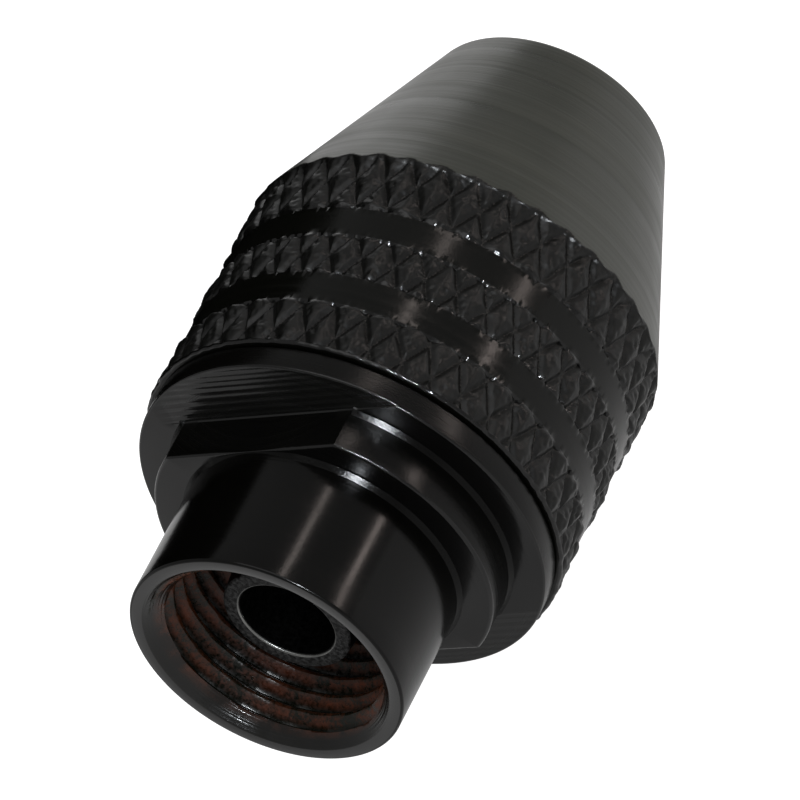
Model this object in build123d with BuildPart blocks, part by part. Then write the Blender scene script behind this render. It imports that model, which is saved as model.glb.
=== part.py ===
"""Mini keyless drill chuck for a rotary tool.

Each piece is drawn upright about the Z axis, with the nose face at z = 0 and the threaded socket
opening upwards, and is laid on its side when it is written. Millimetres throughout. The jaws are
drawn fully open.
"""

import os
from math import ceil, cos, degrees, floor, pi, radians, sin, tan

from build123d import *

os.makedirs("parts", exist_ok=True)

# Lengths along the axis, measured up from the nose face.
TOTAL_HEIGHT = 23.30
CONE_TOP = 8.46
GROOVE_FRONT = (10.49, 11.73)
GROOVE_REAR = (13.26, 14.53)
SLEEVE_TOP = 16.30
FLANGE_BOTTOM = 16.45
FLANGE_TOP = 17.33
BOSS_TOP = 18.80

# Outer radii.
SLEEVE_RADIUS = 7.10
GROOVE_RADIUS = 7.02
NOSE_RADIUS = 3.98
FLANGE_RADIUS = 6.88
BOSS_RADIUS = 5.72
TUBE_RADIUS = 4.60

# Wrench flats across the boss, facing +Y and -Y.
ACROSS_FLATS = 9.30
FLAT_FLOOR = FLANGE_TOP - 0.08

# Threaded socket, M8 x 0.75, drawn at its minor radius, with the centring nozzle in its middle.
SOCKET_RADIUS = 3.60
SOCKET_MOUTH_RADIUS = 4.15
SOCKET_THREAD_END = 18.30
SOCKET_RELIEF_RADIUS = 4.05
SOCKET_FLOOR = 17.50
NOZZLE_TOP = 21.65
NOZZLE_TIP_RADIUS = 2.13
NOZZLE_BASE_RADIUS = 2.60
BORE_RADIUS = 1.60

# Jaws: round pins in holes that lean towards the nose.
JAW_COUNT = 3
JAW_ANGLE = 18.0
JAW_RADIUS = 1.25
JAW_HOLE_RADIUS = 1.30
JAW_AXIS_AT_NOSE = 0.10
JAW_TRAVEL = 5.15
JAW_TIP_CLOSED = 0.20
JAW_REAR_CLOSED = 9.15
JAW_GRIP_OPEN = 1.70
JAW_GRIP_FLAT = 0.06
JAW_HOLE_END = 15.20

# Thread between the jaws and the nut, measured along a jaw.
THREAD_PITCH = 1.00
RIDGE_START = 6.00
RIDGE_TURNS = 5
RIDGE_DEPTH = 0.28
RIDGE_CREST_WIDTH = 0.26
GROOVE_DEPTH = 0.50
GROOVE_FLOOR_WIDTH = 0.44
ROOT_CLEARANCE = 0.08
FLANK_ANGLE = 18.0
TEETH_START_CLOSED = 1.60

# Split nut and its ball thrust bearing.
NUT_BOTTOM = 6.40
NUT_STEP = 8.30
NUT_TOP = 9.00
NUT_RADIUS = 5.40
NUT_HEAD_RADIUS = 6.00
NUT_SPLIT_GAP = 0.10
NUT_FLOOR_DEPTH = 0.55
RACE_INNER_RADIUS = 5.05
FRONT_RACE_TOP = 9.35
REAR_RACE_BOTTOM = 10.09
REAR_RACE_TOP = 10.50
REAR_RACE_RADIUS = 5.95
BALL_COUNT = 18
BALL_RADIUS = 0.35
BALL_CIRCLE_RADIUS = 5.55
CAGE_INNER_RADIUS = 5.08
CAGE_OUTER_RADIUS = 6.01
CAGE_HOLE_RADIUS = 0.37
CAGE_THICKNESS = 0.44

# Body core, where the sleeve runs.
CORE_BOTTOM = 0.10
CORE_NOSE_RADIUS = 3.05
CORE_NOSE_TOP = 3.50
CORE_SHOULDER_RADIUS = 4.00
CORE_SHOULDER_BOTTOM = 4.60
CORE_SHOULDER_TOP = 6.30
CORE_NECK_RADIUS = 4.50
CORE_RADIUS = 6.00
RUNNING_CLEARANCE = 0.06

LEAN = radians(JAW_ANGLE)

# The chuck lies on its sleeve: the nose points to +X, the wrench flats face up and down, and the
# origin is on the surface it lies on, halfway along it.
LYING = Plane(
    origin=(TOTAL_HEIGHT / 2, 0, SLEEVE_RADIUS),
    x_dir=(0, -1, 0),
    z_dir=(-1, 0, 0),
).location


def jaw_outside_radius(height):
    """Radius of the cone that the outermost lines of the three jaws lie on."""
    return JAW_AXIS_AT_NOSE + height * tan(LEAN) + JAW_RADIUS / cos(LEAN)


def jaw_plane(azimuth, distance):
    """Plane across a jaw, its x pointing away from the chuck axis, its z up along the jaw."""
    turn = radians(azimuth)
    outward = Vector(cos(turn), sin(turn), 0)
    along = outward * sin(LEAN) + Vector(0, 0, cos(LEAN))
    across = outward * cos(LEAN) - Vector(0, 0, sin(LEAN))
    origin = outward * JAW_AXIS_AT_NOSE + along * distance
    return Plane(origin=origin, x_dir=across, z_dir=along)


def write(part, name):
    """Lay a finished piece on its side, label it and write its STEP file."""
    laid = part.moved(LYING)
    laid.label = name
    export_step(laid, f"parts/{name}.step")


# ---------------------------------------------------------------- body
with BuildPart() as body:
    with BuildSketch(Plane.XZ):
        with BuildLine():
            Polyline(
                (BORE_RADIUS, CORE_BOTTOM),
                (CORE_NOSE_RADIUS - 0.15, CORE_BOTTOM),
                (CORE_NOSE_RADIUS, CORE_BOTTOM + 0.15),
                (CORE_NOSE_RADIUS, CORE_NOSE_TOP),
                (CORE_SHOULDER_RADIUS, CORE_SHOULDER_BOTTOM),
                (CORE_SHOULDER_RADIUS, CORE_SHOULDER_TOP),
                (jaw_outside_radius(CORE_SHOULDER_TOP) - NUT_FLOOR_DEPTH, CORE_SHOULDER_TOP),
                (jaw_outside_radius(NUT_TOP) - NUT_FLOOR_DEPTH, NUT_TOP),
                (CORE_NECK_RADIUS, NUT_TOP + 0.15),
                (CORE_NECK_RADIUS, REAR_RACE_BOTTOM),
                (RACE_INNER_RADIUS, REAR_RACE_BOTTOM),
                (RACE_INNER_RADIUS, REAR_RACE_TOP),
                (CORE_RADIUS, REAR_RACE_TOP),
                (CORE_RADIUS, FLANGE_BOTTOM),
                (FLANGE_RADIUS, FLANGE_BOTTOM),
                (FLANGE_RADIUS, FLANGE_TOP),
                (BOSS_RADIUS, FLANGE_TOP),
                (BOSS_RADIUS, BOSS_TOP),
                (TUBE_RADIUS, BOSS_TOP),
                (TUBE_RADIUS, TOTAL_HEIGHT - 0.08),
                (TUBE_RADIUS - 0.08, TOTAL_HEIGHT),
                (SOCKET_MOUTH_RADIUS, TOTAL_HEIGHT),
                (SOCKET_RADIUS, TOTAL_HEIGHT - SOCKET_MOUTH_RADIUS + SOCKET_RADIUS),
                (SOCKET_RADIUS, SOCKET_THREAD_END),
                (SOCKET_RELIEF_RADIUS, SOCKET_THREAD_END - 0.30),
                (SOCKET_RELIEF_RADIUS, SOCKET_FLOOR),
                (NOZZLE_BASE_RADIUS, SOCKET_FLOOR),
                (NOZZLE_TIP_RADIUS, NOZZLE_TOP),
                (BORE_RADIUS, NOZZLE_TOP),
                close=True,
            )
        make_face()
    revolve(axis=Axis.Z)
    # Both wrench flats, milled down to just below the flange's rear face.
    with BuildSketch(Plane.XY.offset(FLAT_FLOOR)):
        with Locations((0, ACROSS_FLATS / 2 + FLANGE_RADIUS), (0, -ACROSS_FLATS / 2 - FLANGE_RADIUS)):
            Rectangle(2.2 * FLANGE_RADIUS, 2 * FLANGE_RADIUS)
    extrude(amount=BOSS_TOP - FLAT_FLOOR, mode=Mode.SUBTRACT)
    # The three jaw holes, drilled from the nose.
    for index in range(JAW_COUNT):
        with BuildSketch(jaw_plane(360 * index / JAW_COUNT, -2.0)):
            Circle(JAW_HOLE_RADIUS)
        extrude(amount=2.0 + JAW_HOLE_END / cos(LEAN), mode=Mode.SUBTRACT)
write(body.part, "body")


# ---------------------------------------------------------------- sleeve
with BuildPart() as sleeve:
    with BuildSketch(Plane.XZ):
        with BuildLine():
            Polyline(
                (CORE_NOSE_RADIUS + 0.05, 0.15),
                (CORE_NOSE_RADIUS + 0.20, 0),
                (NOSE_RADIUS - 0.10, 0),
                (NOSE_RADIUS + 0.04, 0.10),
                (SLEEVE_RADIUS, CONE_TOP),
                (SLEEVE_RADIUS, GROOVE_FRONT[0]),
                (GROOVE_RADIUS, GROOVE_FRONT[0]),
                (GROOVE_RADIUS, GROOVE_FRONT[1]),
                (SLEEVE_RADIUS, GROOVE_FRONT[1]),
                (SLEEVE_RADIUS, GROOVE_REAR[0]),
                (GROOVE_RADIUS, GROOVE_REAR[0]),
                (GROOVE_RADIUS, GROOVE_REAR[1]),
                (SLEEVE_RADIUS, GROOVE_REAR[1]),
                (SLEEVE_RADIUS, SLEEVE_TOP - 0.10),
                (SLEEVE_RADIUS - 0.10, SLEEVE_TOP),
                (CORE_RADIUS + RUNNING_CLEARANCE, SLEEVE_TOP),
                (CORE_RADIUS + RUNNING_CLEARANCE, NUT_STEP),
                (NUT_RADIUS, NUT_STEP),
                (NUT_RADIUS, NUT_BOTTOM),
                (CORE_SHOULDER_RADIUS + 0.10, NUT_BOTTOM),
                (CORE_SHOULDER_RADIUS + 0.10, CORE_SHOULDER_BOTTOM - 0.05),
                (CORE_NOSE_RADIUS + 0.05, CORE_NOSE_TOP - 0.10),
                close=True,
            )
        make_face()
    revolve(axis=Axis.Z)
write(sleeve.part, "sleeve")


# ---------------------------------------------------------------- split nut
# The ridge is a right-handed conical helix that follows the jaws' outermost lines. It starts below the
# nut and ends above it.
RIDGE_RADIUS = JAW_AXIS_AT_NOSE + RIDGE_START * sin(LEAN) + JAW_RADIUS * cos(LEAN)
RIDGE_HEIGHT = RIDGE_START * cos(LEAN) - JAW_RADIUS * sin(LEAN)
RIDGE_ROOT = ROOT_CLEARANCE + 0.20
RIDGE_ROOT_WIDTH = RIDGE_CREST_WIDTH + 2 * (RIDGE_DEPTH + ROOT_CLEARANCE) * tan(radians(FLANK_ANGLE))
RIDGE_SECTION = Plane(
    origin=(RIDGE_RADIUS, 0, RIDGE_HEIGHT),
    x_dir=(cos(LEAN), 0, -sin(LEAN)),
    z_dir=(0, 1, 0),
)

with BuildPart() as nut:
    with BuildLine():
        ridge_helix = Helix(
            pitch=THREAD_PITCH,
            height=RIDGE_TURNS * THREAD_PITCH,
            radius=RIDGE_RADIUS,
            center=(0, 0, RIDGE_HEIGHT),
            cone_angle=JAW_ANGLE,
        )
    with BuildSketch(RIDGE_SECTION):
        with BuildLine():
            Polyline(
                (-RIDGE_DEPTH, -RIDGE_CREST_WIDTH / 2),
                (ROOT_CLEARANCE, -RIDGE_ROOT_WIDTH / 2),
                (RIDGE_ROOT, -RIDGE_ROOT_WIDTH / 2),
                (RIDGE_ROOT, RIDGE_ROOT_WIDTH / 2),
                (ROOT_CLEARANCE, RIDGE_ROOT_WIDTH / 2),
                (-RIDGE_DEPTH, RIDGE_CREST_WIDTH / 2),
                close=True,
            )
        make_face()
    sweep(path=ridge_helix, normal=(0, 0, 1))
    root_gap = ROOT_CLEARANCE / cos(LEAN)
    with BuildSketch(Plane.XZ):
        with BuildLine():
            Polyline(
                (jaw_outside_radius(NUT_BOTTOM) + root_gap, NUT_BOTTOM),
                (NUT_RADIUS, NUT_BOTTOM),
                (NUT_RADIUS, NUT_STEP),
                (NUT_HEAD_RADIUS, NUT_STEP),
                (NUT_HEAD_RADIUS, NUT_TOP),
                (jaw_outside_radius(NUT_TOP) + root_gap, NUT_TOP),
                close=True,
            )
        make_face()
    revolve(axis=Axis.Z)
    # Trim what the ridge leaves beyond the nut's two faces.
    with BuildSketch(Plane.XY.offset(NUT_BOTTOM)):
        Circle(NUT_HEAD_RADIUS)
    extrude(amount=NUT_TOP - NUT_BOTTOM, mode=Mode.INTERSECT)

for half, side in (("nut_half_a", 1), ("nut_half_b", -1)):
    with BuildPart() as nut_half:
        add(nut.part)
        with BuildSketch(Plane.XY.offset(NUT_BOTTOM)):
            with Locations((0, side * (NUT_HEAD_RADIUS + NUT_SPLIT_GAP / 2))):
                Rectangle(3 * NUT_HEAD_RADIUS, 2 * NUT_HEAD_RADIUS)
        extrude(amount=NUT_TOP - NUT_BOTTOM, mode=Mode.INTERSECT)
    write(nut_half.part, half)


# ---------------------------------------------------------------- thrust bearing
with BuildPart() as front_race:
    with BuildSketch(Plane.XY.offset(NUT_TOP)):
        Circle(CORE_RADIUS + RUNNING_CLEARANCE)
        Circle(RACE_INNER_RADIUS, mode=Mode.SUBTRACT)
    extrude(amount=FRONT_RACE_TOP - NUT_TOP)
write(front_race.part, "front_race")

with BuildPart() as rear_race:
    with BuildSketch(Plane.XY.offset(REAR_RACE_BOTTOM)):
        Circle(REAR_RACE_RADIUS)
        Circle(RACE_INNER_RADIUS, mode=Mode.SUBTRACT)
    extrude(amount=REAR_RACE_TOP - REAR_RACE_BOTTOM)
write(rear_race.part, "rear_race")

BALL_HEIGHT = (FRONT_RACE_TOP + REAR_RACE_BOTTOM) / 2

with BuildPart() as ball_cage:
    with BuildSketch(Plane.XY.offset(BALL_HEIGHT - CAGE_THICKNESS / 2)):
        Circle(CAGE_OUTER_RADIUS)
        Circle(CAGE_INNER_RADIUS, mode=Mode.SUBTRACT)
        with PolarLocations(BALL_CIRCLE_RADIUS, BALL_COUNT):
            Circle(CAGE_HOLE_RADIUS, mode=Mode.SUBTRACT)
    extrude(amount=CAGE_THICKNESS)
write(ball_cage.part, "ball_cage")

with BuildPart() as thrust_balls:
    with Locations((0, 0, BALL_HEIGHT)):
        with PolarLocations(BALL_CIRCLE_RADIUS, BALL_COUNT):
            Sphere(BALL_RADIUS)
write(thrust_balls.part, "thrust_balls")


# ---------------------------------------------------------------- jaws
def groove_centres(azimuth):
    """Distances along a jaw, at rest, of the grooves that mesh with the nut's ridge."""
    first = RIDGE_START + THREAD_PITCH * azimuth / 360
    lowest = TEETH_START_CLOSED / cos(LEAN) + JAW_TRAVEL
    highest = JAW_REAR_CLOSED / cos(LEAN) + JAW_TRAVEL
    first_step = ceil((lowest - first) / THREAD_PITCH)
    last_step = floor((highest - first) / THREAD_PITCH)
    return [first + step * THREAD_PITCH for step in range(first_step, last_step + 1)]


def lead_tilt():
    """Slope of the nut's ridge across a jaw, at the middle of the nut."""
    middle = jaw_outside_radius((NUT_BOTTOM + NUT_TOP) / 2)
    return degrees(THREAD_PITCH * cos(LEAN) / (2 * pi * middle))


# The cutter for a groove reaches this far past the jaw's surface.
CUTTER_REACH = 0.30
GROOVE_MOUTH_WIDTH = GROOVE_FLOOR_WIDTH + 2 * (GROOVE_DEPTH + CUTTER_REACH) * tan(radians(FLANK_ANGLE))
JAW_TIP_OPEN = JAW_TIP_CLOSED + JAW_TRAVEL * cos(LEAN)

for index in range(JAW_COUNT):
    azimuth = 360 * index / JAW_COUNT
    tip = JAW_TIP_OPEN / cos(LEAN) - 1.0
    rear = JAW_REAR_CLOSED / cos(LEAN) + JAW_TRAVEL
    with BuildPart() as jaw:
        with BuildSketch(jaw_plane(azimuth, tip)):
            Circle(JAW_RADIUS)
        extrude(amount=rear - tip)
        chamfer(jaw.edges().sort_by(Axis.Z)[-1], 0.15)
        # Grooves on the outer side, tilted by the lead of the nut's ridge.
        for centre in groove_centres(azimuth):
            across = jaw_plane(azimuth, centre)
            groove_plane = Plane(origin=across.origin, x_dir=across.x_dir, z_dir=-across.y_dir)
            groove_plane = groove_plane.rotated((lead_tilt(), 0, 0))
            with BuildSketch(groove_plane):
                with BuildLine():
                    Polyline(
                        (JAW_RADIUS - GROOVE_DEPTH, -GROOVE_FLOOR_WIDTH / 2),
                        (JAW_RADIUS + CUTTER_REACH, -GROOVE_MOUTH_WIDTH / 2),
                        (JAW_RADIUS + CUTTER_REACH, GROOVE_MOUTH_WIDTH / 2),
                        (JAW_RADIUS - GROOVE_DEPTH, GROOVE_FLOOR_WIDTH / 2),
                        close=True,
                    )
                make_face()
            extrude(amount=2 * JAW_RADIUS, both=True, mode=Mode.SUBTRACT)
        # Two gripping faces, 120 degrees apart, that meet in a narrow flat, and the square tip.
        with BuildSketch(Plane.XY.offset(JAW_TIP_OPEN).rotated((0, 0, azimuth))):
            with BuildLine():
                Polyline(
                    (JAW_GRIP_OPEN, -JAW_GRIP_FLAT),
                    (JAW_GRIP_OPEN + 8 * cos(pi / 3), -JAW_GRIP_FLAT - 8 * sin(pi / 3)),
                    (JAW_GRIP_OPEN + 12, 0),
                    (JAW_GRIP_OPEN + 8 * cos(pi / 3), JAW_GRIP_FLAT + 8 * sin(pi / 3)),
                    (JAW_GRIP_OPEN, JAW_GRIP_FLAT),
                    close=True,
                )
            make_face()
        extrude(amount=20, mode=Mode.INTERSECT)
    write(jaw.part, f"jaw_{index + 1}")
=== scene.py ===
"""Mini keyless drill chuck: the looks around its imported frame.

The chuck lies on its sleeve with its nose to +X. Lengths here are in millimetres until they reach
Blender, and points are given in the chuck's own cylinder coordinates: height back from the nose face,
radius, and turn about the axis.
"""

from math import cos, pi, radians, sin, sqrt, tan

import bmesh
import bpy
import numpy as np
from mathutils import Matrix, Vector


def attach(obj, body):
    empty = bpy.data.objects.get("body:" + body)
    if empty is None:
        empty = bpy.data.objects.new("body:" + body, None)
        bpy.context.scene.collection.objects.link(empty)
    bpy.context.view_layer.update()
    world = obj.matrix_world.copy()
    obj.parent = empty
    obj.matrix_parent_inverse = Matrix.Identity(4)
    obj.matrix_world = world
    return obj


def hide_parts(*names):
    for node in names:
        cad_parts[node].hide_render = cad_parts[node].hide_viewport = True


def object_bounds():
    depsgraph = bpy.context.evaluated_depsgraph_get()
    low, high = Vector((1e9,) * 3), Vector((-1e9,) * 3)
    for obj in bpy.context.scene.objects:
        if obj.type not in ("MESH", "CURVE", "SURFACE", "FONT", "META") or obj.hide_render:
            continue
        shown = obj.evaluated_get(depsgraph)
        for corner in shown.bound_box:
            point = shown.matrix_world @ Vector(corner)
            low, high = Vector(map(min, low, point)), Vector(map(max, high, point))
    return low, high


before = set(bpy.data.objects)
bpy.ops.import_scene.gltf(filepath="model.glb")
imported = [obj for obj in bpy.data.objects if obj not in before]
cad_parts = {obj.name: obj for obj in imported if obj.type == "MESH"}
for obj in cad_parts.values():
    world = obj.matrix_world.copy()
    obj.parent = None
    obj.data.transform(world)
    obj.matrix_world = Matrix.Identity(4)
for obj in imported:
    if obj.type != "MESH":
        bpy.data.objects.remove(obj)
cad_low, cad_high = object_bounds()

MM = 0.001

# Heights above the nose face.
LENGTH = (cad_high.x - cad_low.x) / MM
CONE_TOP = 8.46
GROOVE_FRONT = (10.49, 11.73)
GROOVE_REAR = (13.26, 14.53)
SLEEVE_TOP = 16.39
FLANGE_BOTTOM = 16.45
FLANGE_TOP = 17.33
FLAT_FLOOR = 17.28
BOSS_TOP = 18.80

# Outer radii, and the height of the axis above the floor.
SLEEVE_RADIUS = 7.10
AXIS_HEIGHT = SLEEVE_RADIUS
GROOVE_RADIUS = 6.96
NOSE_RADIUS = 3.98
CONE_SLOPE = (SLEEVE_RADIUS - NOSE_RADIUS) / CONE_TOP
FLANGE_RADIUS = 6.88
BOSS_RADIUS = 5.72
TUBE_RADIUS = 4.60
HALF_FLATS = 4.65

# Roundings of the outer edges, and the conical feet of the tube and the boss.
NOSE_ROUND = 0.26
RIM_ROUND = 0.09
BOSS_ROUND = 0.10
FLANGE_ROUND = 0.07
FLANGE_BACK_ROUND = 0.06
TUBE_FOOT = 0.17
BOSS_FOOT = 0.16
FLAT_FOOT = 0.05
FOOT_SLOPE = 0.73

# Socket with its M8 x 0.75 thread, centring nozzle and bore.
PITCH = 0.75
THREAD_CREST = 3.60
THREAD_ROOT = 4.00
THREAD_CREST_SHARE = 0.16
THREAD_ROOT_SHARE = 0.08
THREAD_ROWS_PER_TURN = 16
THREAD_UNEVEN = 0.010
MOUTH_RADIUS = 4.15
MOUTH_EDGE = (0.012, 0.015)
THREAD_END = 18.30
THREAD_RUN_OUT = 0.3
RELIEF_RADIUS = 4.05
SOCKET_FLOOR = 17.50
NOZZLE_TOP = 21.65
NOZZLE_TIP_RADIUS = 2.13
NOZZLE_BASE_RADIUS = 2.60
NOZZLE_FOOT = 0.25
BORE_RADIUS = 1.60

# Marks of the cutter that made the flats, and where it ran out of the flange face. The milled finish
# ends at MILLED_UP_TO of the run-out.
MILL_MARK = 0.007
MILL_FEED = 0.25
MILL_CHATTER = 0.11
RUN_OUT_START = 2.9
RUN_OUT_LENGTH = 1.3
MILLED_UP_TO = 0.6

# Core of the body under the sleeve, the sleeve's clearances round it, and the jaw holes.
CORE_CHAMFER = 0.15
NOSE_GAP = 0.05
SHOULDER_GAP = 0.10
CORE_GAP = 0.06
CORE_BOTTOM = 0.10
CORE_NOSE_RADIUS = 3.05
CORE_NOSE_TOP = 3.50
SHOULDER_RADIUS = 4.00
SHOULDER_BOTTOM = 4.60
NUT_BOTTOM = 6.40
NUT_STEP = 8.30
NUT_TOP = 9.00
NUT_RADIUS = 5.40
NECK_RADIUS = 4.50
RACE_SEAT = (10.09, 10.50)
RACE_SEAT_RADIUS = 5.05
CORE_RADIUS = 6.00
JAW_LEAN = radians(18)
JAW_AXIS_AT_NOSE = 0.10
JAW_RADIUS = 1.25
JAW_HOLE_RADIUS = 1.30
JAW_HOLE_END = 15.20
JAW_DRILL_SPARE = 2.0
JAW_STANDS_OUT = 0.55

# Diamond knurl.
DIAMONDS_AROUND = 40
DIAMOND_HEIGHT = 2.15
KNURL_DEPTH = 0.24
GROOVE_SHARE = 0.30
V_SHARE = 0.34
CREST_SPREAD = (0.78, 1.0)
KNURL_TURN = radians(1.95)
KNURL_SHIFT = 0.70
KNURL_COLUMNS = 20
KNURL_STEP = 0.05
KNURL_RAG = 0.020
KNURL_EDGE_DROP = 0.03
KNURL_ON_CONE = 0.03
BAND_WALL = 0.08

# Unevenness of the knurl: how far its lines wander round and along the axis, and its dents' depth.
WANDER_ROUND = 0.0035
WANDER_ALONG = 0.030
DENT_SHARE = 0.10

# Lip at the sleeve's rear edge, behind the last knurled band.
LIP_LENGTH = 0.14
LIP_DROP = 0.04
LIP_RAG = 0.015
LIP_ROUND = 0.10

# Even columns of the body's mesh, the distance under which points merge, and the largest angle between
# faces that is shaded smooth.
BODY_COLUMNS = 720
MERGE_DISTANCE = 0.002
SMOOTH_DEGREES = 32


# ---------------------------------------------------------------- mesh helpers
def place(height, radius, turn):
    """Points in the frame's own coordinates, in metres."""
    height, radius, turn = np.broadcast_arrays(height, radius, turn)
    x = LENGTH / 2 - height
    y = -radius * np.cos(turn)
    z = AXIS_HEIGHT + radius * np.sin(turn)
    return np.stack([x, y, z], axis=-1) * MM


def ripples(turn, height, seed, waves, around, along):
    """Smooth seeded unevenness between about -1 and 1 that closes on itself round the axis."""
    draw = np.random.default_rng(seed)
    total = np.zeros(np.broadcast(turn, height).shape)
    for _ in range(waves):
        cycles = draw.integers(1, around + 1)
        rate = draw.uniform(-along, along)
        total += np.sin(cycles * turn + rate * height + draw.uniform(0, 2 * pi))
    return total / sqrt(waves)


class Turned:
    """A closed profile carried round the axis, row by row; each row may vary with the turn."""

    def __init__(self, turns):
        self.turns = turns
        self.heights = []
        self.radii = []
        self.finishes = []

    def row(self, height, radius, finish):
        """Add a row. Its finish is the material number of the strip that ends here.

        Height, radius and finish are each one value or one for every turn.
        """
        self.heights.append(np.broadcast_to(height, self.turns.shape).astype(float))
        self.radii.append(np.broadcast_to(radius, self.turns.shape).astype(float))
        self.finishes.append(np.broadcast_to(finish, self.turns.shape))

    def arc(self, start, end, corner, before, finish, steps=4):
        """Round a corner with rows from start to end, all given as (height, radius).

        The finish called before goes on the strip that leads up to it.
        """
        for step in range(steps + 1):
            t = step / steps * pi / 2
            toward, away = 1 - cos(t), 1 - sin(t)
            height = corner[0] + (start[0] - corner[0]) * away + (end[0] - corner[0]) * toward
            radius = corner[1] + (start[1] - corner[1]) * away + (end[1] - corner[1]) * toward
            self.row(height, radius, finish if step else before)

    def build(self, name, materials):
        """Make the object, with every strip of no width merged away."""
        heights = np.array(self.heights)
        radii = np.array(self.radii)
        rows, columns = heights.shape
        points = place(heights, radii, self.turns[None, :]).reshape(-1, 3)
        row = np.arange(rows)[:, None]
        column = np.arange(columns)[None, :]
        before = (row - 1) % rows
        after = (column + 1) % columns
        corners = [
            before * columns + column,
            before * columns + after,
            row * columns + after,
            row * columns + column,
        ]
        faces = np.stack(np.broadcast_arrays(*corners), axis=-1).reshape(-1, 4)
        finishes = np.array(self.finishes).reshape(-1)
        mesh = bpy.data.meshes.new(name)
        mesh.from_pydata(points.tolist(), [], faces.tolist())
        for material in materials:
            mesh.materials.append(material)
        mesh.polygons.foreach_set("material_index", finishes.astype(np.int32))
        work = bmesh.new()
        work.from_mesh(mesh)
        bmesh.ops.remove_doubles(work, verts=work.verts, dist=MERGE_DISTANCE * MM)
        bmesh.ops.recalc_face_normals(work, faces=work.faces)
        work.to_mesh(mesh)
        work.free()
        return add_object(name, mesh)


def add_object(name, data):
    """Put a mesh, light or camera into the scene."""
    obj = bpy.data.objects.new(name, data)
    bpy.context.scene.collection.objects.link(obj)
    return obj


def smooth_by_angle(obj, degrees):
    """Smooth shading that leaves flat faces flat, with edges sharper than the angle kept sharp."""
    obj.data.shade_smooth()
    obj.data.set_sharp_from_angle(angle=radians(degrees))
    even = obj.modifiers.new("even_shading", "WEIGHTED_NORMAL")
    even.keep_sharp = True


# ---------------------------------------------------------------- material helpers
# Range that most of a noise texture's values lie in, and the scale of the finest etched grain.
MOST_NOISE = (0.35, 0.65)
FINE_GRAIN = 14.0

# How much the distance from the axis counts in turning lines, against the place along it.
FACING_RATE = 1.3


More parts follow.
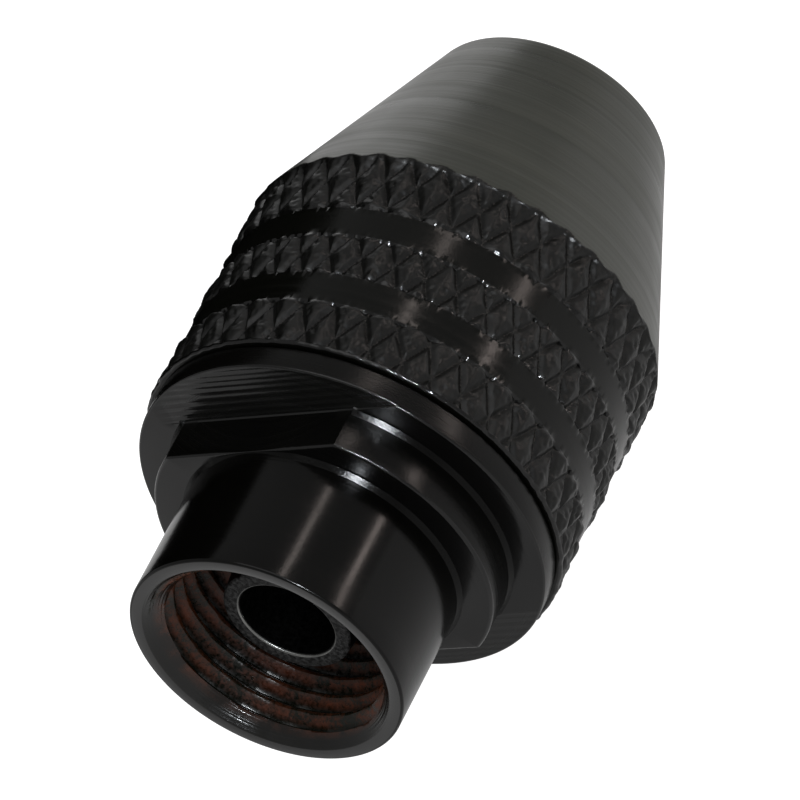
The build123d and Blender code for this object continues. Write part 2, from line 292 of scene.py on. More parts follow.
class Finish:
    """A material built from nodes around one Principled shader."""

    def __init__(self, name, **constants):
        self.material = bpy.data.materials.new(name)
        self.material.use_nodes = True
        self.tree = self.material.node_tree
        self.shader = self.tree.nodes["Principled BSDF"]
        for socket, value in constants.items():
            self.shader.inputs[socket.replace("_", " ")].default_value = value

    def node(self, kind, settings=None, **inputs):
        """Add a node; its inputs, named or numbered as i0, are constants or the sockets that feed them."""
        node = self.tree.nodes.new(kind)
        for key, value in (settings or {}).items():
            setattr(node, key, value)
        for key, value in inputs.items():
            numbered = key[0] == "i" and key[1:].isdigit()
            socket = int(key[1:]) if numbered else key.replace("_", " ")
            self.feed(node.inputs[socket], value)
        return node

    def feed(self, target, value):
        """Set a socket to a constant, or link it to the socket that feeds it."""
        if isinstance(value, bpy.types.NodeSocket):
            self.tree.links.new(value, target)
        else:
            target.default_value = value

    def maths(self, operation, first, second=0.0):
        """Result of one maths node."""
        return self.node("ShaderNodeMath", {"operation": operation}, i0=first, i1=second).outputs[0]

    def blend(self, first, first_share, second, second_share):
        """Two values added in the given shares."""
        first = self.maths("MULTIPLY", first, first_share)
        return self.maths("ADD", first, self.maths("MULTIPLY", second, second_share))

    def remap(self, value, low, high, to_low, to_high):
        """A value taken from one range to another, and held at its ends."""
        node = self.node("ShaderNodeMapRange", Value=value)
        for key, number in (("From Min", low), ("From Max", high), ("To Min", to_low), ("To Max", to_high)):
            node.inputs[key].default_value = number
        return node.outputs[0]

    def noise(self, scale, detail=2.0, roughness=0.5):
        """Noise through the object's own millimetres."""
        node = self.node("ShaderNodeTexNoise", Scale=scale, Detail=detail, Roughness=roughness)
        self.feed(node.inputs["Vector"], self.place())
        return node.outputs["Fac"]

    def place(self):
        """Object coordinates in millimetres, with the origin on the axis."""
        coordinates = self.node("ShaderNodeTexCoord").outputs["Object"]
        node = self.node("ShaderNodeVectorMath", {"operation": "MULTIPLY_ADD"}, i0=coordinates)
        node.inputs[1].default_value = (1 / MM,) * 3
        node.inputs[2].default_value = (0, 0, -AXIS_HEIGHT)
        return node.outputs[0]

    def along_and_radius(self):
        """Place along the axis and distance from it, in millimetres."""
        parts = self.node("ShaderNodeSeparateXYZ", i0=self.place())
        across = self.node("ShaderNodeCombineXYZ", i0=parts.outputs[1], i1=parts.outputs[2])
        radius = self.node("ShaderNodeVectorMath", {"operation": "LENGTH"}, i0=across.outputs[0])
        return parts.outputs[0], radius.outputs["Value"]

    def radius_share(self, low, high):
        """How far a point's distance from the axis has gone from low to high, in millimetres."""
        return self.remap(self.along_and_radius()[1], low, high, 0.0, 1.0)

    def turning_lines(self, scale, detail=3.0):
        """Noise that only changes along the profile, as a lathe tool leaves it."""
        along, radius = self.along_and_radius()
        travel = self.maths("SUBTRACT", along, self.maths("MULTIPLY", radius, FACING_RATE))
        settings = {"noise_dimensions": "1D"}
        node = self.node("ShaderNodeTexNoise", settings, W=travel, Scale=scale, Detail=detail)
        return node.outputs["Fac"]

    def colour(self, factor, dark, light):
        """Colour between dark and light."""
        node = self.node("ShaderNodeMix", {"data_type": "RGBA"}, i0=factor)
        node.inputs[6].default_value = (*dark, 1)
        node.inputs[7].default_value = (*light, 1)
        return node.outputs[2]

    def set(self, socket, value):
        """Set or link one of the shader's own sockets."""
        self.feed(self.shader.inputs[socket], value)

    def bump(self, height, depth_mm):
        """Bump of a height field between 0 and 1 that is depth_mm deep, on top of any bump before it."""
        normal = self.node("ShaderNodeBump", Height=height, Strength=1.0, Distance=depth_mm * MM)
        old = self.shader.inputs["Normal"]
        if old.is_linked:
            self.tree.links.new(old.links[0].from_socket, normal.inputs["Normal"])
        self.set("Normal", normal.outputs[0])


# ---------------------------------------------------------------- materials
def black_oxide(name, dark, light, rough, lines, grain_depth, ior=1.27):
    """Blackened steel: turning lines, a fine etched grain and smudges in its gloss.

    rough is its lowest and highest roughness, and lines the scale and depth of the turning lines.
    """
    finish = Finish(name, Metallic=0.0, IOR=ior)
    line_scale, line_depth = lines
    turned = finish.turning_lines(line_scale)
    smudges = finish.noise(0.35, 3.0)
    grain = finish.noise(FINE_GRAIN)
    finish.set("Base Color", finish.colour(finish.maths("MULTIPLY", turned, smudges), dark, light))
    finish.set("Roughness", finish.remap(finish.blend(turned, 0.5, smudges, 0.5), *MOST_NOISE, *rough))
    finish.bump(turned, line_depth)
    finish.bump(grain, grain_depth)
    return finish.material


tube_finish = black_oxide(
    "black_oxide_gloss",
    dark=(0.0010, 0.0010, 0.0008),
    light=(0.0035, 0.0032, 0.0028),
    rough=(0.13, 0.20),
    lines=(9.0, 0.0010),
    grain_depth=0.0010,
)
face_finish = black_oxide(
    "black_oxide_faced",
    dark=(0.0022, 0.0022, 0.0022),
    light=(0.0065, 0.0062, 0.0060),
    rough=(0.12, 0.20),
    lines=(8.0, 0.0010),
    grain_depth=0.0012,
    ior=1.33,
)
rim_finish = black_oxide(
    "black_oxide_rim",
    dark=(0.0010, 0.0010, 0.0010),
    light=(0.0060, 0.0055, 0.0050),
    rough=(0.12, 0.22),
    lines=(8.0, 0.0015),
    grain_depth=0.0020,
    ior=1.54,
)
boss_finish = black_oxide(
    "black_oxide_turned",
    dark=(0.0010, 0.0010, 0.0008),
    light=(0.0040, 0.0038, 0.0032),
    rough=(0.18, 0.30),
    lines=(7.0, 0.0020),
    grain_depth=0.0030,
)
cone_finish = black_oxide(
    "black_oxide_satin",
    dark=(0.011, 0.013, 0.007),
    light=(0.044, 0.046, 0.031),
    rough=(0.26, 0.42),
    lines=(1.1, 0.022),
    grain_depth=0.002,
    ior=1.50,
)
band_finish = black_oxide(
    "black_oxide_band",
    dark=(0.0020, 0.0022, 0.0016),
    light=(0.0050, 0.0050, 0.0040),
    rough=(0.14, 0.22),
    lines=(5.0, 0.0015),
    grain_depth=0.0015,
)
milled_finish = black_oxide(
    "black_oxide_milled",
    dark=(0.0050, 0.0052, 0.0048),
    light=(0.0140, 0.0140, 0.0130),
    rough=(0.18, 0.30),
    lines=(4.0, 0.001),
    grain_depth=0.003,
    ior=1.36,
)


def knurl_material():
    """Rolled knurl: blackened faces with small dents, and crests rubbed brighter."""
    finish = Finish("black_oxide_knurl", Metallic=0.0, IOR=1.33)
    dents = finish.noise(3.6, 4.0, 0.65)
    scuffs = finish.noise(7.0, 3.0, 0.6)
    crests = finish.radius_share(SLEEVE_RADIUS - 0.05, SLEEVE_RADIUS)
    rubbed = finish.maths("MULTIPLY", crests, finish.remap(scuffs, 0.52, 0.70, 0.0, 1.0))
    finish.set("Base Color", finish.colour(rubbed, (0.0030, 0.0031, 0.0026), (0.026, 0.026, 0.023)))
    finish.set("Roughness", finish.remap(dents, 0.3, 0.7, 0.28, 0.44))
    finish.bump(dents, 0.012)
    finish.bump(finish.noise(FINE_GRAIN), 0.002)
    return finish.material


def edge_material(name, ior, scale, depth):
    """Corners where the blackening is coarse and broken, so that it glints."""
    finish = Finish(name, Metallic=0.0, IOR=ior)
    grain = finish.noise(scale, 3.0, 0.6)
    finish.set("Base Color", finish.colour(grain, (0.0010, 0.0010, 0.0010), (0.0060, 0.0060, 0.0055)))
    finish.set("Roughness", finish.remap(grain, *MOST_NOISE, 0.08, 0.16))
    finish.bump(grain, depth)
    return finish.material


def thread_material():
    """Socket wall: dark steel with brown rust on the thread's flanks, darker toward its roots."""
    finish = Finish("rusted_thread", IOR=1.33)
    patches = finish.noise(0.8, 3.0, 0.55)
    specks = finish.noise(8.0, 3.0, 0.6)
    off_crest = finish.radius_share(THREAD_CREST + 0.02, THREAD_CREST + 0.12)
    # The rust colour fades out toward the thread's roots, which stay dark.
    off_root = finish.radius_share(THREAD_ROOT - 0.02, THREAD_ROOT - 0.20)
    spread = finish.remap(finish.blend(patches, 0.62, specks, 0.48), 0.45, 0.65, 0.0, 1.0)
    rust = finish.maths("MULTIPLY", spread, off_root)
    rust = finish.maths("MULTIPLY", rust, finish.remap(off_crest, 0.0, 1.0, 0.55, 1.0))
    finish.set("Base Color", finish.colour(rust, (0.0075, 0.0085, 0.0045), (0.125, 0.027, 0.006)))
    finish.set("Roughness", finish.remap(specks, *MOST_NOISE, 0.22, 0.45))
    finish.bump(specks, 0.008)
    return finish.material


def bevel_material():
    """Bevel at the mouth: fine turned grooves, with rust that starts at its inner edge."""
    finish = Finish("turned_bevel", IOR=1.40)
    patches = finish.noise(1.2, 4.0, 0.6)
    inward = finish.radius_share(MOUTH_RADIUS - 0.22, THREAD_CREST + 0.08)
    rust = finish.maths("MULTIPLY", inward, finish.remap(patches, 0.40, 0.62, 0.10, 1.0))
    finish.set("Base Color", finish.colour(rust, (0.0050, 0.0048, 0.0040), (0.085, 0.025, 0.010)))
    finish.set("Roughness", finish.remap(patches, *MOST_NOISE, 0.12, 0.26))
    finish.bump(finish.turning_lines(9.0, 2.0), 0.012)
    finish.bump(finish.noise(12.0), 0.003)
    return finish.material


def bitten_material(name, ior, dark, light, depth):
    """Dull dark steel, bitten rough to the given depth."""
    finish = Finish(name, IOR=ior)
    grain = finish.noise(7.0, 4.0, 0.65)
    bites = finish.remap(grain, 0.42, 0.62, 0.0, 1.0)
    finish.set("Base Color", finish.colour(bites, (dark,) * 3, (light,) * 3))
    finish.set("Roughness", finish.remap(grain, 0.3, 0.7, 0.35, 0.55))
    finish.bump(finish.turning_lines(6.0), 0.006)
    finish.bump(grain, depth)
    return finish.material


def bright_metal(name, dark, light, rough, line_scale):
    """Turned or ground metal with stains, rough from its lowest to its highest roughness."""
    finish = Finish(name, Metallic=1.0)
    lines = finish.turning_lines(line_scale)
    stains = finish.noise(1.4, 4.0)
    finish.set("Base Color", finish.colour(stains, dark, light))
    finish.set("Roughness", finish.remap(lines, 0.3, 0.7, *rough))
    finish.bump(lines, 0.004)
    return finish.material


edge_finish = edge_material("black_oxide_edge", 1.40, 12.0, 0.010)
foot_finish = edge_material("black_oxide_fillet", 1.19, 14.0, 0.0060)
lip_finish = bright_metal("worn_lip", (0.02, 0.02, 0.02), (0.28, 0.28, 0.27), (0.22, 0.34), 9.0)


# ---------------------------------------------------------------- sleeve
def knurl_radius(height, turn):
    """Radius of the knurled surface: low pyramids between two families of narrow V grooves."""
    turn = turn + WANDER_ROUND * ripples(turn, height, seed=11, waves=6, around=30, along=4.0)
    height = height + WANDER_ALONG * ripples(turn, height, seed=12, waves=6, around=40, along=4.0)
    around = (turn - KNURL_TURN) * DIAMONDS_AROUND / (2 * pi)
    along = (height - KNURL_SHIFT) / DIAMOND_HEIGHT
    first = around + along
    second = around - along
    ramp = 2 * np.minimum(np.abs(first - np.round(first)), np.abs(second - np.round(second)))
    grooves = np.minimum(ramp / GROOVE_SHARE, 1)
    crests = np.random.default_rng(15).uniform(*CREST_SPREAD, (DIAMONDS_AROUND, DIAMONDS_AROUND))
    rows = np.floor(first).astype(int) % DIAMONDS_AROUND
    columns = np.floor(second).astype(int) % DIAMONDS_AROUND
    pyramid = np.minimum(ramp, crests[rows, columns])
    dents = DENT_SHARE * ripples(turn, height, seed=14, waves=14, around=160, along=20.0) * grooves
    fall = V_SHARE * (1 - grooves) + (1 - V_SHARE) * (1 - pyramid) - np.minimum(dents, 0)
    # Shallower where the cone begins and at the rear edge.
    fade = np.clip((height - CONE_TOP + 0.45) / 0.75, 0.30, 1)
    fade = fade * np.clip((SLEEVE_TOP + 0.06 - height) / 0.26, 0.35, 1)
    return SLEEVE_RADIUS - KNURL_DEPTH * fall * fade


# Material numbers on the sleeve's shell.
SLEEVE_MATERIALS = [cone_finish, knurl_material(), band_finish, band_finish, edge_finish]
CONE, KNURL, BAND, SLEEVE_INSIDE, SLEEVE_EDGE = range(len(SLEEVE_MATERIALS))


def add_cone(shell):
    """Nose face and cone, with the knurl's first points running out on it."""
    hole = CORE_NOSE_RADIUS + NOSE_GAP
    shell.row(CORE_CHAMFER, hole, SLEEVE_INSIDE)
    shell.row(0.0, hole + CORE_CHAMFER, SLEEVE_EDGE)
    shell.row(0.0, NOSE_RADIUS - 0.22, CONE)
    shell.arc(
        (0.0, NOSE_RADIUS - NOSE_ROUND),
        (NOSE_ROUND, NOSE_RADIUS + NOSE_ROUND * CONE_SLOPE),
        (0.0, NOSE_RADIUS),
        CONE,
        CONE,
        steps=6,
    )
    for height in np.arange(0.6, 7.7, 0.3):
        shell.row(height, NOSE_RADIUS + height * CONE_SLOPE, CONE)
    for height in np.arange(7.80, CONE_TOP + 0.01, KNURL_STEP):
        plain = NOSE_RADIUS + height * CONE_SLOPE
        knurled = knurl_radius(height, shell.turns) + KNURL_ON_CONE
        shell.row(height, np.minimum(plain, knurled), np.where(knurled < plain, KNURL, CONE))


def add_knurl(shell, start, end, seed):
    """One knurled band, with ragged edges except where it meets the cone."""
    def rag(number):
        return KNURL_RAG * ripples(shell.turns, 0, number, waves=8, around=90, along=0)

    from_cone = start == CONE_TOP
    low = start + (KNURL_ON_CONE if from_cone else rag(seed))
    high = end + rag(seed + 1)
    steps = round((end - start) / KNURL_STEP)
    for step in range(steps + 1):
        height = low + (high - low) * step / steps
        from_edge = steps - step if from_cone else min(step, steps - step)
        drop = KNURL_EDGE_DROP * max(0.0, 1 - from_edge / 1.5)
        shell.row(height, knurl_radius(height, shell.turns) - drop, KNURL if from_edge else SLEEVE_EDGE)


def add_band(shell, start, end):
    """One smooth band between two knurled ones."""
    shell.row(start + BAND_WALL, GROOVE_RADIUS, SLEEVE_EDGE)
    for share in (0.25, 0.5, 0.75):
        shell.row(start + (end - start) * share, GROOVE_RADIUS, BAND)
    shell.row(end - BAND_WALL, GROOVE_RADIUS, BAND)


def add_sleeve_inside(shell):
    """Uneven lip at the rear edge, then down through the bore, the nut's pocket and the nose hole."""
    uneven = LIP_RAG * ripples(shell.turns, 0, seed=27, waves=12, around=120, along=0)
    lip = SLEEVE_RADIUS - LIP_DROP + uneven
    shell.arc(
        (SLEEVE_TOP - LIP_LENGTH + 0.03, lip),
        (SLEEVE_TOP, lip - LIP_ROUND),
        (SLEEVE_TOP, lip),
        SLEEVE_EDGE,
        SLEEVE_EDGE,
    )
    bore = CORE_RADIUS + CORE_GAP
    for height, radius in (
        (SLEEVE_TOP, bore + 0.08),
        (SLEEVE_TOP - 0.08, bore),
        (NUT_STEP, bore),
        (NUT_STEP, NUT_RADIUS),
        (NUT_BOTTOM, NUT_RADIUS),
        (NUT_BOTTOM, SHOULDER_RADIUS + SHOULDER_GAP),
        (SHOULDER_BOTTOM - 0.05, SHOULDER_RADIUS + SHOULDER_GAP),
        (CORE_NOSE_TOP - 0.10, CORE_NOSE_RADIUS + NOSE_GAP),
    ):
        shell.row(height, radius, SLEEVE_INSIDE)


def build_sleeve():
    """Sleeve shell: cone, three knurled bands with two smooth ones between, and its inside."""
    shell = Turned(np.linspace(0, 2 * pi, DIAMONDS_AROUND * KNURL_COLUMNS, endpoint=False))
    add_cone(shell)
    add_knurl(shell, CONE_TOP, GROOVE_FRONT[0], seed=21)
    add_band(shell, *GROOVE_FRONT)
    add_knurl(shell, GROOVE_FRONT[1], GROOVE_REAR[0], seed=23)
    add_band(shell, *GROOVE_REAR)
    add_knurl(shell, GROOVE_REAR[1], SLEEVE_TOP - LIP_LENGTH, seed=25)
    add_sleeve_inside(shell)
    obj = shell.build("sleeve_shell", SLEEVE_MATERIALS)
    smooth_by_angle(obj, SMOOTH_DEGREES)
    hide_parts("sleeve")
    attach(obj, "sleeve")


# ---------------------------------------------------------------- body
# Material numbers on the body's shell.
BODY_MATERIALS = [
    tube_finish,
    face_finish,
    boss_finish,
    milled_finish,
    thread_material(),
    bevel_material(),
    bitten_material("dark_bore", 1.12, 0.0005, 0.0040, 0.020),
    lip_finish,
    foot_finish,
    edge_finish,
    band_finish,
    bitten_material("bitten_nozzle", 1.24, 0.0010, 0.0460, 0.065),
    rim_finish,
]
TUBE, FACE, BOSS, MILLED, THREAD, BEVEL, BORE = range(7)
BORE_LIP, FOOT, EDGE, INSIDE, NOZZLE, RIM = range(7, len(BODY_MATERIALS))


def body_turns():
    """Turns of the body's columns, closer together at each end of the two flats."""
    near = np.radians([-1.2, -0.7, -0.35, 0, 0.35, 0.7, 1.2])
    flat_ends = [np.arcsin(HALF_FLATS / radius) + near for radius in (FLANGE_RADIUS, BOSS_RADIUS)]
    quarter = np.concatenate(flat_ends)
    even = np.linspace(0, 2 * pi, BODY_COLUMNS, endpoint=False)
    turns = np.concatenate([even, quarter, pi - quarter, pi + quarter, 2 * pi - quarter])
    return np.unique(np.round(turns, 6))


def thread_radius(height, turn):
    """Wall of the right-handed M8 x 0.75 socket with its relief, and where it is the bevel at the mouth."""
    phase = height / PITCH - turn / (2 * pi)
    ramp = 2 * np.abs(phase - np.round(phase))
    flank_share = 1 - THREAD_CREST_SHARE - THREAD_ROOT_SHARE
    rise = np.clip((ramp - THREAD_CREST_SHARE) / flank_share, 0, 1)
    rise = rise + THREAD_UNEVEN * ripples(turn, height, seed=31, waves=10, around=60, along=12.0)
    radius = THREAD_CREST + (THREAD_ROOT - THREAD_CREST) * np.clip(rise, 0, 1)
    relief = np.clip((THREAD_END + THREAD_RUN_OUT - height) / THREAD_RUN_OUT, 0, 1)
    radius = radius + (RELIEF_RADIUS - radius) * relief
    bevel = MOUTH_RADIUS + height - LENGTH
    return np.maximum(radius, bevel), radius < bevel


def add_bore_and_nozzle(shell):
    """Up the bore, over the nozzle's tip and down to the socket's floor."""
    shell.row(CORE_BOTTOM, BORE_RADIUS, FACE)
    for height in np.arange(2.0, 20.1, 2.0):
        shell.row(height, BORE_RADIUS, BORE)
    shell.arc(
        (NOZZLE_TOP - 0.09, BORE_RADIUS),
        (NOZZLE_TOP, BORE_RADIUS + 0.07),
        (NOZZLE_TOP, BORE_RADIUS),
        BORE,
        BORE_LIP,
    )
    shell.arc(
        (NOZZLE_TOP, NOZZLE_TIP_RADIUS - 0.07),
        (NOZZLE_TOP - 0.08, NOZZLE_TIP_RADIUS + 0.01),
        (NOZZLE_TOP, NOZZLE_TIP_RADIUS),
        NOZZLE,
        NOZZLE,
    )
    shell.row(SOCKET_FLOOR + NOZZLE_FOOT + 0.05, NOZZLE_BASE_RADIUS - 0.03, BORE)
    shell.arc(
        (SOCKET_FLOOR + NOZZLE_FOOT, NOZZLE_BASE_RADIUS),
        (SOCKET_FLOOR, NOZZLE_BASE_RADIUS + NOZZLE_FOOT),
        (SOCKET_FLOOR, NOZZLE_BASE_RADIUS),
        BORE,
        BORE,
    )
    shell.row(SOCKET_FLOOR, RELIEF_RADIUS, BORE)


def add_thread_and_rim(shell):
    """Up the thread, out over the bevel and round the rim."""
    count = round((LENGTH - THREAD_END) / (PITCH / THREAD_ROWS_PER_TURN))
    for index in range(count + 1):
        height = THREAD_END + (LENGTH - MOUTH_EDGE[0] - THREAD_END) * index / count
        radius, on_bevel = thread_radius(height, shell.turns)
        shell.row(height, radius, np.where(on_bevel, BEVEL, THREAD))
    shell.row(LENGTH, MOUTH_RADIUS + MOUTH_EDGE[1], BEVEL)
    shell.arc(
        (LENGTH, TUBE_RADIUS - RIM_ROUND),
        (LENGTH - RIM_ROUND, TUBE_RADIUS),
        (LENGTH, TUBE_RADIUS),
        RIM,
        TUBE,
        steps=5,
    )


def add_tube_and_boss(shell, boss):
    """Down the tube to its foot, and over the boss, whose radius follows the flats."""
    for height in np.arange(22.5, 19.4, -0.6):
        shell.row(height, TUBE_RADIUS, TUBE)
    foot = np.minimum(TUBE_FOOT, (boss - TUBE_RADIUS) * 0.5)
    shell.row(BOSS_TOP + foot, TUBE_RADIUS, TUBE)
    shell.row(BOSS_TOP, TUBE_RADIUS + foot * FOOT_SLOPE, FOOT)
    lip = np.minimum(BOSS_ROUND, (boss - TUBE_RADIUS) * 0.4)
    shell.arc((BOSS_TOP, boss - lip), (BOSS_TOP - lip, boss), (BOSS_TOP, boss), FACE, EDGE, steps=5)
    for share in (0.25, 0.5, 0.75):
        shell.row(BOSS_TOP - BOSS_ROUND - (BOSS_TOP - FLANGE_TOP - 0.25) * share, boss, BOSS)


def share_across(turns):
    """Share of the radius that points across the flats, kept above nothing."""
    return np.maximum(np.abs(np.sin(turns)), 1e-6)


def run_out(radius, turns):
    """How far the cutter that made the flats has left the flange face, toward the far side."""
    return np.clip((-radius * np.cos(turns) - RUN_OUT_START) / RUN_OUT_LENGTH, 0, 1)


def flange_face(radius, turns, milled_here):
    """Height of the flange face."""
    cut = np.where(milled_here, 1 - run_out(radius, turns), 0)
    return FLANGE_TOP - (FLANGE_TOP - FLAT_FLOOR) * cut


def mill_marks(radius, turns):
    """Straight marks along the flats' floor, as a share of their height; they fade at its edges."""
    across = radius * share_across(turns)
    marks = np.sin(across * 2 * pi / MILL_FEED + 1.7 * np.sin(across * 2.9))
    marks = marks + 0.4 * np.sin(across * 2 * pi / MILL_CHATTER)
    fade = np.clip((across - HALF_FLATS) / 0.1, 0, 1)
    fainter_below = np.where(np.sin(turns) < 0, 0.3, 1.0)
    return marks * fade * fainter_below * (1 - run_out(radius, turns))


def add_flange(shell, boss, chord):
    """Boss's foot, the flange face with the flats' milled floor, and the flange's edge."""
    turns = shell.turns
    on_flat = chord <= BOSS_RADIUS + 1e-6
    beyond = chord < FLANGE_RADIUS - 0.02
    foot = np.where(on_flat, FLAT_FOOT, BOSS_FOOT)
    face = flange_face(boss, turns, on_flat)
    shell.row(face + foot, boss, BOSS)
    shell.row(face, boss + foot * FOOT_SLOPE, np.where(on_flat, MILLED, FOOT))

    rim = FLANGE_RADIUS - FLANGE_ROUND
    step = np.clip(chord, boss + foot * FOOT_SLOPE, rim)
    shell.row(flange_face(step, turns, on_flat), step, FACE)
    strips = 44
    start = np.minimum(step + 0.03, rim)
    for index in range(strips + 1):
        radius = start + (rim - start) * index / strips
        floor_or_face = np.where(beyond & (run_out(radius, turns) < MILLED_UP_TO), MILLED, FACE)
        marked = beyond & (0 < index < strips)
        marks = np.where(marked, MILL_MARK * mill_marks(radius, turns), 0)
        shell.row(flange_face(radius, turns, beyond) + marks, radius, floor_or_face)

    outer_face = flange_face(radius, turns, beyond)
    shell.arc(
        (outer_face, rim),
        (outer_face - FLANGE_ROUND, FLANGE_RADIUS),
        (outer_face, FLANGE_RADIUS),
        floor_or_face,
        EDGE,
    )
    shell.row(FLANGE_TOP - 0.4, FLANGE_RADIUS, BOSS)
    shell.arc(
        (FLANGE_BOTTOM + FLANGE_BACK_ROUND, FLANGE_RADIUS),
        (FLANGE_BOTTOM, FLANGE_RADIUS - FLANGE_BACK_ROUND),
        (FLANGE_BOTTOM, FLANGE_RADIUS),
        BOSS,
        EDGE,
    )


def add_core(shell):
    """Down the core under the sleeve, cut back at the nut so that the jaws' threads reach it."""
    def cut_back(height):
        return JAW_AXIS_AT_NOSE + height * tan(JAW_LEAN) + JAW_RADIUS / cos(JAW_LEAN) - JAW_STANDS_OUT

    for height, radius in (
        (FLANGE_BOTTOM, CORE_RADIUS),
        (RACE_SEAT[1], CORE_RADIUS),
        (RACE_SEAT[1], RACE_SEAT_RADIUS),
        (RACE_SEAT[0], RACE_SEAT_RADIUS),
        (RACE_SEAT[0], NECK_RADIUS),
        (NUT_TOP + 0.15, NECK_RADIUS),
        (NUT_TOP, cut_back(NUT_TOP)),
        (NUT_BOTTOM - 0.1, cut_back(NUT_BOTTOM - 0.1)),
        (NUT_BOTTOM - 0.1, SHOULDER_RADIUS),
        (SHOULDER_BOTTOM, SHOULDER_RADIUS),
        (CORE_NOSE_TOP, CORE_NOSE_RADIUS),
        (CORE_BOTTOM + CORE_CHAMFER, CORE_NOSE_RADIUS),
        (CORE_BOTTOM, CORE_NOSE_RADIUS - CORE_CHAMFER),
    ):
        shell.row(height, radius, INSIDE)


def jaw_hole_cutter(index):
    """Leaning cylinder that cuts one jaw hole."""
    reach = JAW_HOLE_END / cos(JAW_LEAN)
    turn = 2 * pi * index / 3
    outward = Vector((0, -cos(turn), sin(turn)))
    along = outward * sin(JAW_LEAN) - Vector((1, 0, 0)) * cos(JAW_LEAN)
    nose = Vector((LENGTH / 2, 0, AXIS_HEIGHT)) + outward * JAW_AXIS_AT_NOSE
    middle = nose + along * ((reach - JAW_DRILL_SPARE) / 2)
    spin = along.to_track_quat("Z", "Y").to_matrix().to_4x4()
    mesh = bpy.data.meshes.new(f"jaw_drill_{index}")
    work = bmesh.new()
    bmesh.ops.create_cone(
        work,
        cap_ends=True,
        segments=72,
        radius1=JAW_HOLE_RADIUS * MM,
        radius2=JAW_HOLE_RADIUS * MM,
        depth=(reach + JAW_DRILL_SPARE) * MM,
        matrix=Matrix.Translation(middle * MM) @ spin,
    )
    work.to_mesh(mesh)
    work.free()
    return add_object(mesh.name, mesh)


def drill_jaw_holes(obj):
    """Cut the three leaning jaw holes out of the body."""
    cutters = [jaw_hole_cutter(index) for index in range(3)]
    for cutter in cutters:
        cut = obj.modifiers.new(cutter.name, "BOOLEAN")
        cut.operation = "DIFFERENCE"
        cut.solver = "MANIFOLD"
        cut.object = cutter
    graph = bpy.context.evaluated_depsgraph_get()
    result = bpy.data.meshes.new_from_object(obj.evaluated_get(graph))
    obj.modifiers.clear()
    obj.data = result
    for cutter in cutters:
        bpy.data.objects.remove(cutter)


def build_body():
    """Body shell: threaded tube, boss with its two flats, flange, and the core under the sleeve."""
    shell = Turned(body_turns())
    chord = HALF_FLATS / share_across(shell.turns)
    boss = np.minimum(BOSS_RADIUS, chord)
    add_bore_and_nozzle(shell)
    add_thread_and_rim(shell)
    add_tube_and_boss(shell, boss)
    add_flange(shell, boss, chord)
    add_core(shell)
    obj = shell.build("body_shell", BODY_MATERIALS)
    drill_jaw_holes(obj)
    smooth_by_angle(obj, SMOOTH_DEGREES)
    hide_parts("body")
    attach(obj, "body")


build_sleeve()
build_body()


# ---------------------------------------------------------------- pieces kept from the frame
def refinish(node_names, material):
    """Give CAD nodes a material, with their shape left as it is."""
    for node_name in node_names:
        node_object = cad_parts[node_name]
        node_object.data.materials.clear()
        node_object.data.materials.append(material)


refinish(
    ("jaw_1", "jaw_2", "jaw_3"),
    bright_metal("hardened_jaw", (0.16, 0.16, 0.155), (0.34, 0.335, 0.32), (0.24, 0.40), 7.0),
)
refinish(
    ("nut_half_a", "nut_half_b"),
    bright_metal("nut_steel", (0.20, 0.20, 0.19), (0.36, 0.35, 0.33), (0.28, 0.45), 6.0),
)
refinish(
    ("front_race", "rear_race", "thrust_balls"),
    bright_metal("bearing_steel", (0.42, 0.42, 0.41), (0.62, 0.61, 0.60), (0.12, 0.22), 9.0),
)
refinish(
    ("ball_cage",),
    bright_metal("cage_brass", (0.42, 0.27, 0.08), (0.60, 0.42, 0.16), (0.25, 0.40), 5.0),
)


# ---------------------------------------------------------------- studio
# The lights, the floor and the camera's distance are in metres; the black card is in millimetres.
# Strength of the light from the floor and the world, where the camera sees them and everywhere else.
FLOOR_SEEN, FLOOR_OTHER = 1.05, 0.44
WORLD_SEEN, WORLD_OTHER = 1.0, 0.42
FLOOR_REACH = 6.0
LIT_POINT = Vector((0, 0, 0.007))

# Black card: how far it stands on the chuck's far side, and its outline as (x, z).
FLAG_SIDE = 18
FLAG_OUTLINE = ((7, 0), (19, 0), (20, 18), (26, 46), (-2, 46), (-8, 22), (-8, 9), (3, 9))


def standing(position, right, up, back):
    """Matrix that puts an object at a position, with its own axes along the three given."""
    return Matrix.Translation(position) @ Matrix((right, up, back)).transposed().to_4x4()


def area_light(name, direction, distance, size, energy, colour=(1, 1, 1)):
    """Rectangular light whose first size runs round the chuck's axis and second along it."""
    data = bpy.data.lights.new(name, "AREA")
    data.shape = "RECTANGLE"
    data.size, data.size_y = size
    data.energy = energy
    data.color = colour
    light = add_object(name, data)
    outward = Vector(direction).normalized()
    side = Vector((1, 0, 0)).cross(outward).normalized()
    light.matrix_world = standing(LIT_POINT + outward * distance, side, outward.cross(side), outward)
    return light


def round_the_axis(turn):
    """Direction that a lengthwise streak at this turn from straight up is reflected from."""
    along = 0.566
    across = sqrt(1 - along * along)
    return (along, -across * sin(radians(turn)), across * cos(radians(turn)))


def add_lights():
    """Two long lights for the streaks, two soft ones, and a small one that only makes highlights."""
    area_light("streak_high", round_the_axis(29.5), 0.60, (0.030, 0.40), 0.34, (1.0, 0.88, 0.82))
    area_light("streak_low", round_the_axis(76.4), 0.60, (0.030, 0.30), 0.34, (1.0, 0.86, 0.80))
    area_light("overhead", (-0.2, -0.3, 1.0), 0.80, (0.60, 0.60), 1.4)
    area_light("far_card", (0.80, 0.60, 0.14), 0.60, (0.36, 0.36), 0.34)
    spark = area_light("spark", (-0.60, -0.56, 0.57), 0.35, (0.024, 0.024), 1.6, (0.90, 0.95, 1.0))
    spark.visible_diffuse = False


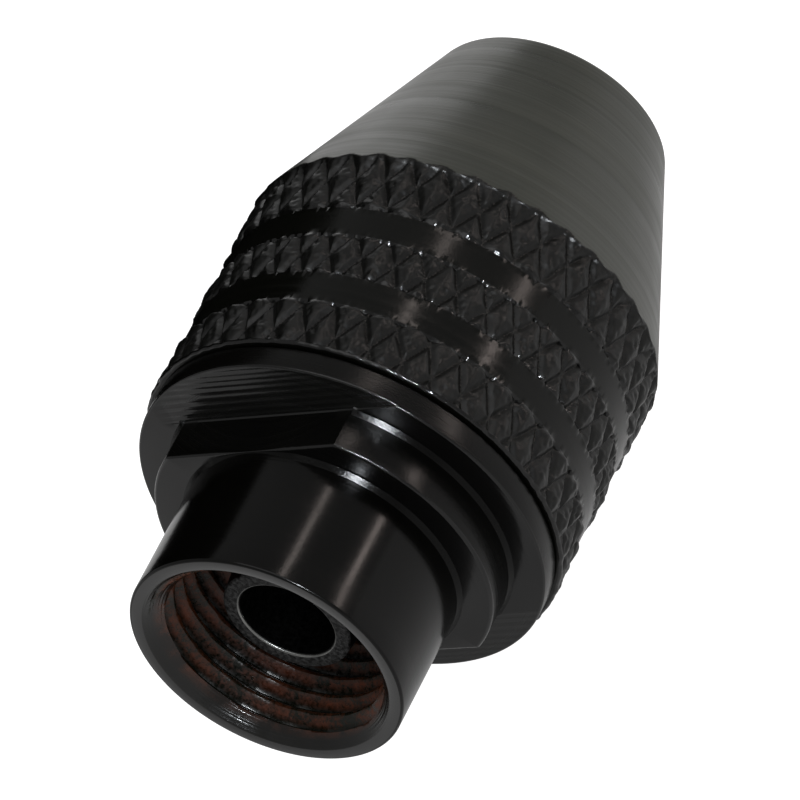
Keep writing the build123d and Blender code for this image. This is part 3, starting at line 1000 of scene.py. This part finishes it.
def add_flag():
    """Black card that the camera doesn't see; it shades the chuck's far side and darkens its reflections."""
    mesh = bpy.data.meshes.new("dark_flag")
    corners = [(x * MM, FLAG_SIDE * MM, z * MM) for x, z in FLAG_OUTLINE]
    mesh.from_pydata(corners, [], [tuple(range(len(corners)))])
    finish = Finish("flag_felt", Roughness=1.0, Specular_IOR_Level=0.0)
    finish.shader.inputs["Base Color"].default_value = (0.002, 0.002, 0.002, 1)
    mesh.materials.append(finish.material)
    flag = add_object("dark_flag", mesh)
    flag.visible_camera = False
    flag.visible_diffuse = False


def camera_or_other(tree, seen, otherwise):
    """A strength: one number where the camera looks straight at it, another for reflected light."""
    path = tree.nodes.new("ShaderNodeLightPath")
    strength = tree.nodes.new("ShaderNodeMapRange")
    strength.inputs["To Min"].default_value = otherwise
    strength.inputs["To Max"].default_value = seen
    tree.links.new(path.outputs["Is Camera Ray"], strength.inputs["Value"])
    return strength.outputs[0]


def add_floor():
    """Wide pale floor."""
    mesh = bpy.data.meshes.new("studio_floor")
    corners = [(x * FLOOR_REACH, y * FLOOR_REACH, 0) for x, y in ((-1, -1), (1, -1), (1, 1), (-1, 1))]
    mesh.from_pydata(corners, [], [(0, 1, 2, 3)])
    finish = Finish("floor_paper", Roughness=0.9, Specular_IOR_Level=0.0)
    finish.shader.inputs["Base Color"].default_value = (0.40, 0.40, 0.40, 1)
    finish.shader.inputs["Emission Color"].default_value = (1, 1, 1, 1)
    finish.set("Emission Strength", camera_or_other(finish.tree, FLOOR_SEEN, FLOOR_OTHER))
    mesh.materials.append(finish.material)
    add_object("studio_floor", mesh)


def set_world():
    """White world."""
    world = bpy.data.worlds.new("studio_world")
    bpy.context.scene.world = world
    world.use_nodes = True
    background = world.node_tree.nodes["Background"]
    background.inputs["Color"].default_value = (1, 1, 1, 1)
    strength = camera_or_other(world.node_tree, WORLD_SEEN, WORLD_OTHER)
    world.node_tree.links.new(strength, background.inputs["Strength"])


add_lights()
add_flag()
add_floor()
set_world()
bpy.context.scene.view_settings.view_transform = "Standard"


# ---------------------------------------------------------------- camera
VIEW_AZIMUTH = radians(-42.6)
VIEW_ELEVATION = radians(33.3)
VIEW_ROLL = radians(35.34)
VIEW_DISTANCE = 0.322
VIEW_TARGET = Vector((3.07, 4.13, 3.54)) * MM
FOCAL_LENGTH = 451.2
SENSOR_WIDTH = 36


def add_camera():
    """Camera at its azimuth and elevation round the target, rolled about its own view."""
    level_reach = cos(VIEW_ELEVATION)
    back = Vector((sin(VIEW_AZIMUTH) * level_reach, -cos(VIEW_AZIMUTH) * level_reach, sin(VIEW_ELEVATION)))
    level = Vector((0, 0, 1)).cross(back).normalized()
    upright = back.cross(level)
    up = upright * cos(VIEW_ROLL) + level * sin(VIEW_ROLL)
    right = level * cos(VIEW_ROLL) - upright * sin(VIEW_ROLL)
    lens = bpy.data.cameras.new("view")
    lens.lens = FOCAL_LENGTH
    lens.sensor_width = SENSOR_WIDTH
    lens.clip_start = 0.01
    lens.clip_end = 50
    camera = add_object("view", lens)
    camera.matrix_world = standing(VIEW_TARGET + back * VIEW_DISTANCE, right, up, back)
    bpy.context.scene.camera = camera


add_camera()
